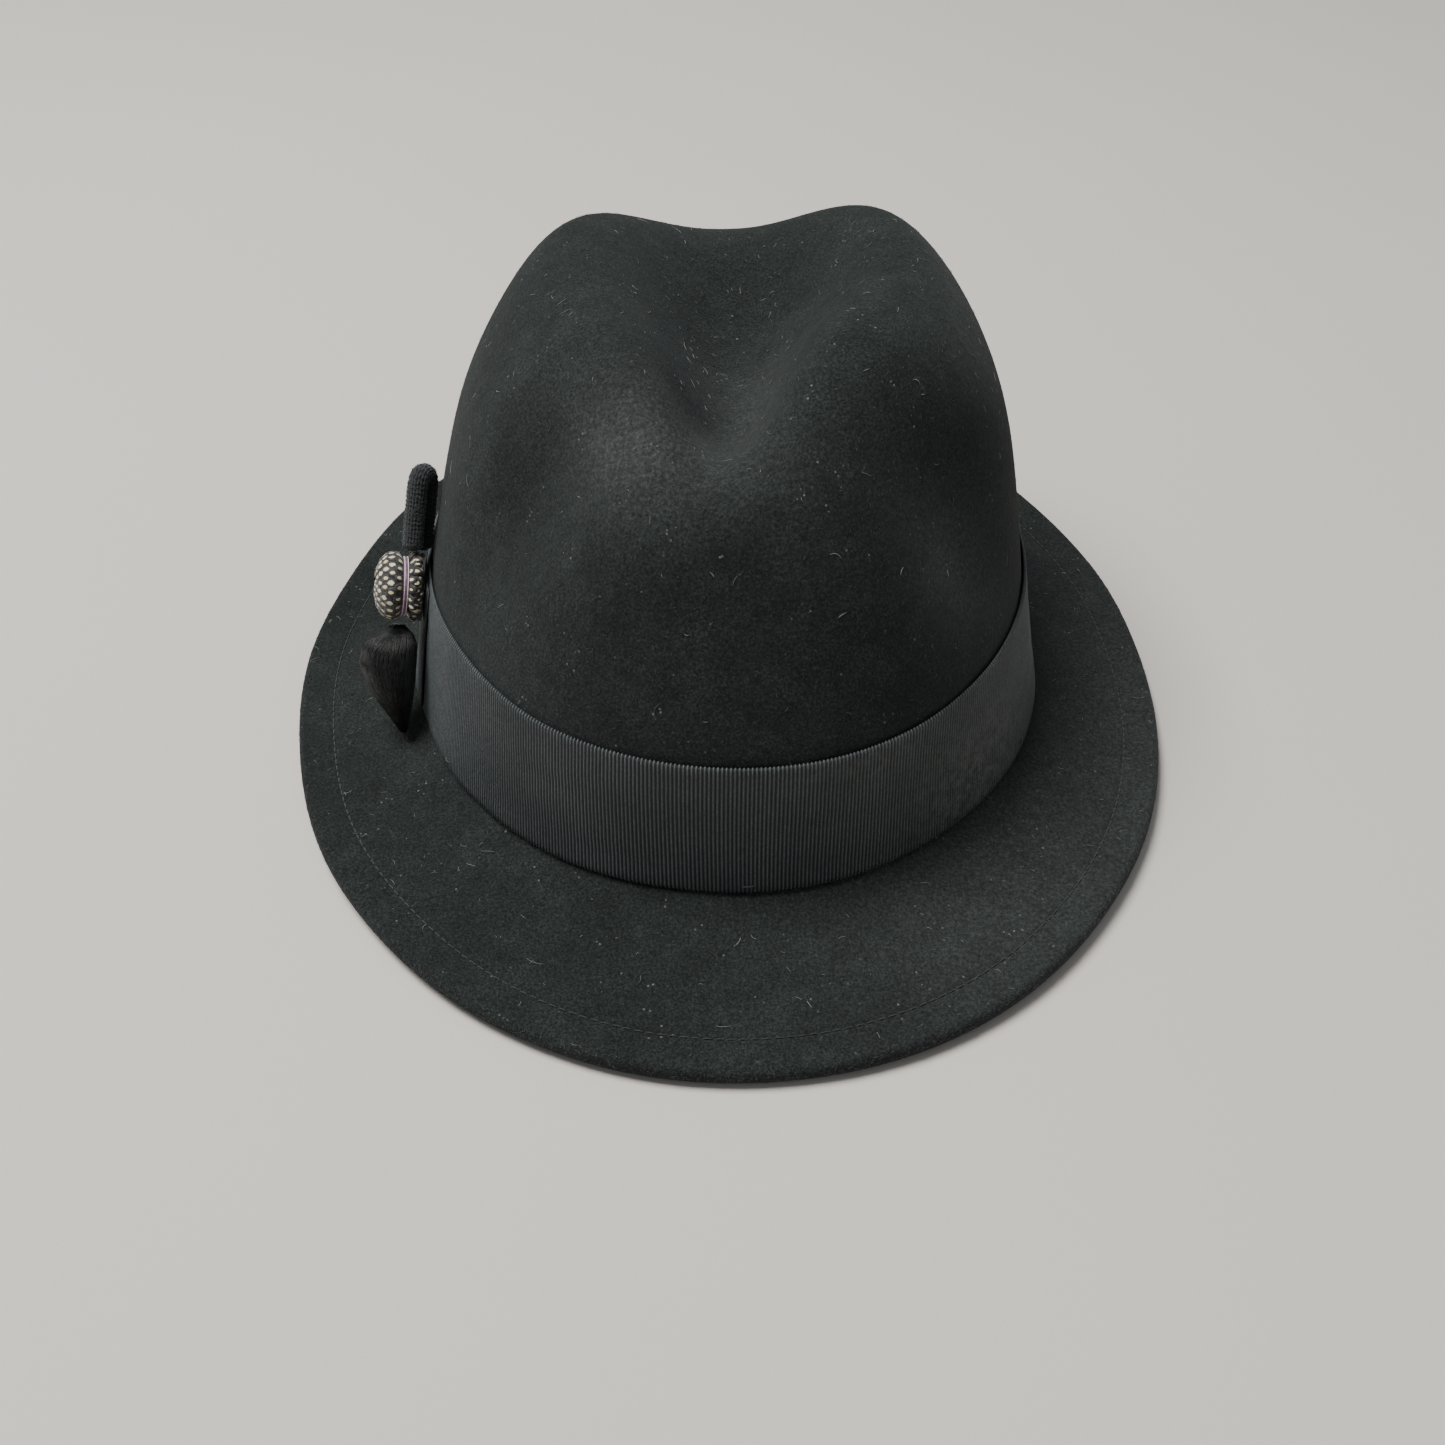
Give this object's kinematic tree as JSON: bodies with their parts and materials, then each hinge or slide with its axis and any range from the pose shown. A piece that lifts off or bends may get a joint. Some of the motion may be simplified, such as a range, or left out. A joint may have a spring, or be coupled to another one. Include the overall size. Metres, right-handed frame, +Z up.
{
  "type": "felt fedora hat",
  "caption": "Black felt fedora with a teardrop crease, front pinches, a narrow welted brim, a ribbed ribbon and a cord, feather and brush ornament on the side.",
  "frame": {"origin": "on the surface that the hat stands on, under the middle of its length and width", "axes": "+Z up, the front of the hat faces -Y, the ornament is on the hat's right side, at -X"},
  "size_m": [0.2402, 0.2954, 0.1289],
  "materials": {
    "felt": "matt wool felt",
    "grosgrain": "ribbed ribbon, low sheen",
    "thread": "sewing thread",
    "leather": "smooth dark brown",
    "tape": "black tape",
    "satin": "satin",
    "cord": "knitted cord",
    "feather": "speckled cream and black feather",
    "mauve_ribbon": "narrow ribbon with a pale line",
    "hair": "straight glossy hair",
    "steel": "plain pin"
  },
  "bodies": {
    "hat": {"felt_body": "felt", "welt_stitching": "thread", "hat_ribbon": "grosgrain", "ribbon_overlap": "grosgrain", "ribbon_tack_1": "thread", "ribbon_tack_2": "thread", "ribbon_tack_3": "thread", "ribbon_tack_4": "thread", "ribbon_tack_5": "thread", "ribbon_tack_6": "thread", "sweatband": "leather", "sweatband_reed": "tape", "reed_tape": "tape", "sweatband_stitching": "thread", "sweatband_bow": "tape", "lining_side": "satin", "lining_tip": "satin", "lining_piping": "satin", "ornament_pin": "steel"},
    "ornament": {"ornament_backing": "tape", "cord_loop": "cord", "feather_ruffle": "feather", "feather_cap": "feather", "tie_band": "mauve_ribbon"},
    "brush_tuft": {"brush_binding": "thread", "brush": "hair"}
  },
  "joints": [
    {"name": "ornament_turn", "type": "hinge", "parent": "hat", "child": "ornament", "pos_m": [-0.08054, -0.01326, 0.04548], "axis": [-0.9747, -0.1117, 0.1938], "range_deg": [-10, 10]},
    {"name": "brush_swing", "type": "hinge", "parent": "ornament", "child": "brush_tuft", "pos_m": [-0.08789, -0.01928, 0.03808], "axis": [-0.1954, 0.8467, -0.4948], "range_deg": [0, 35]}
  ]
}
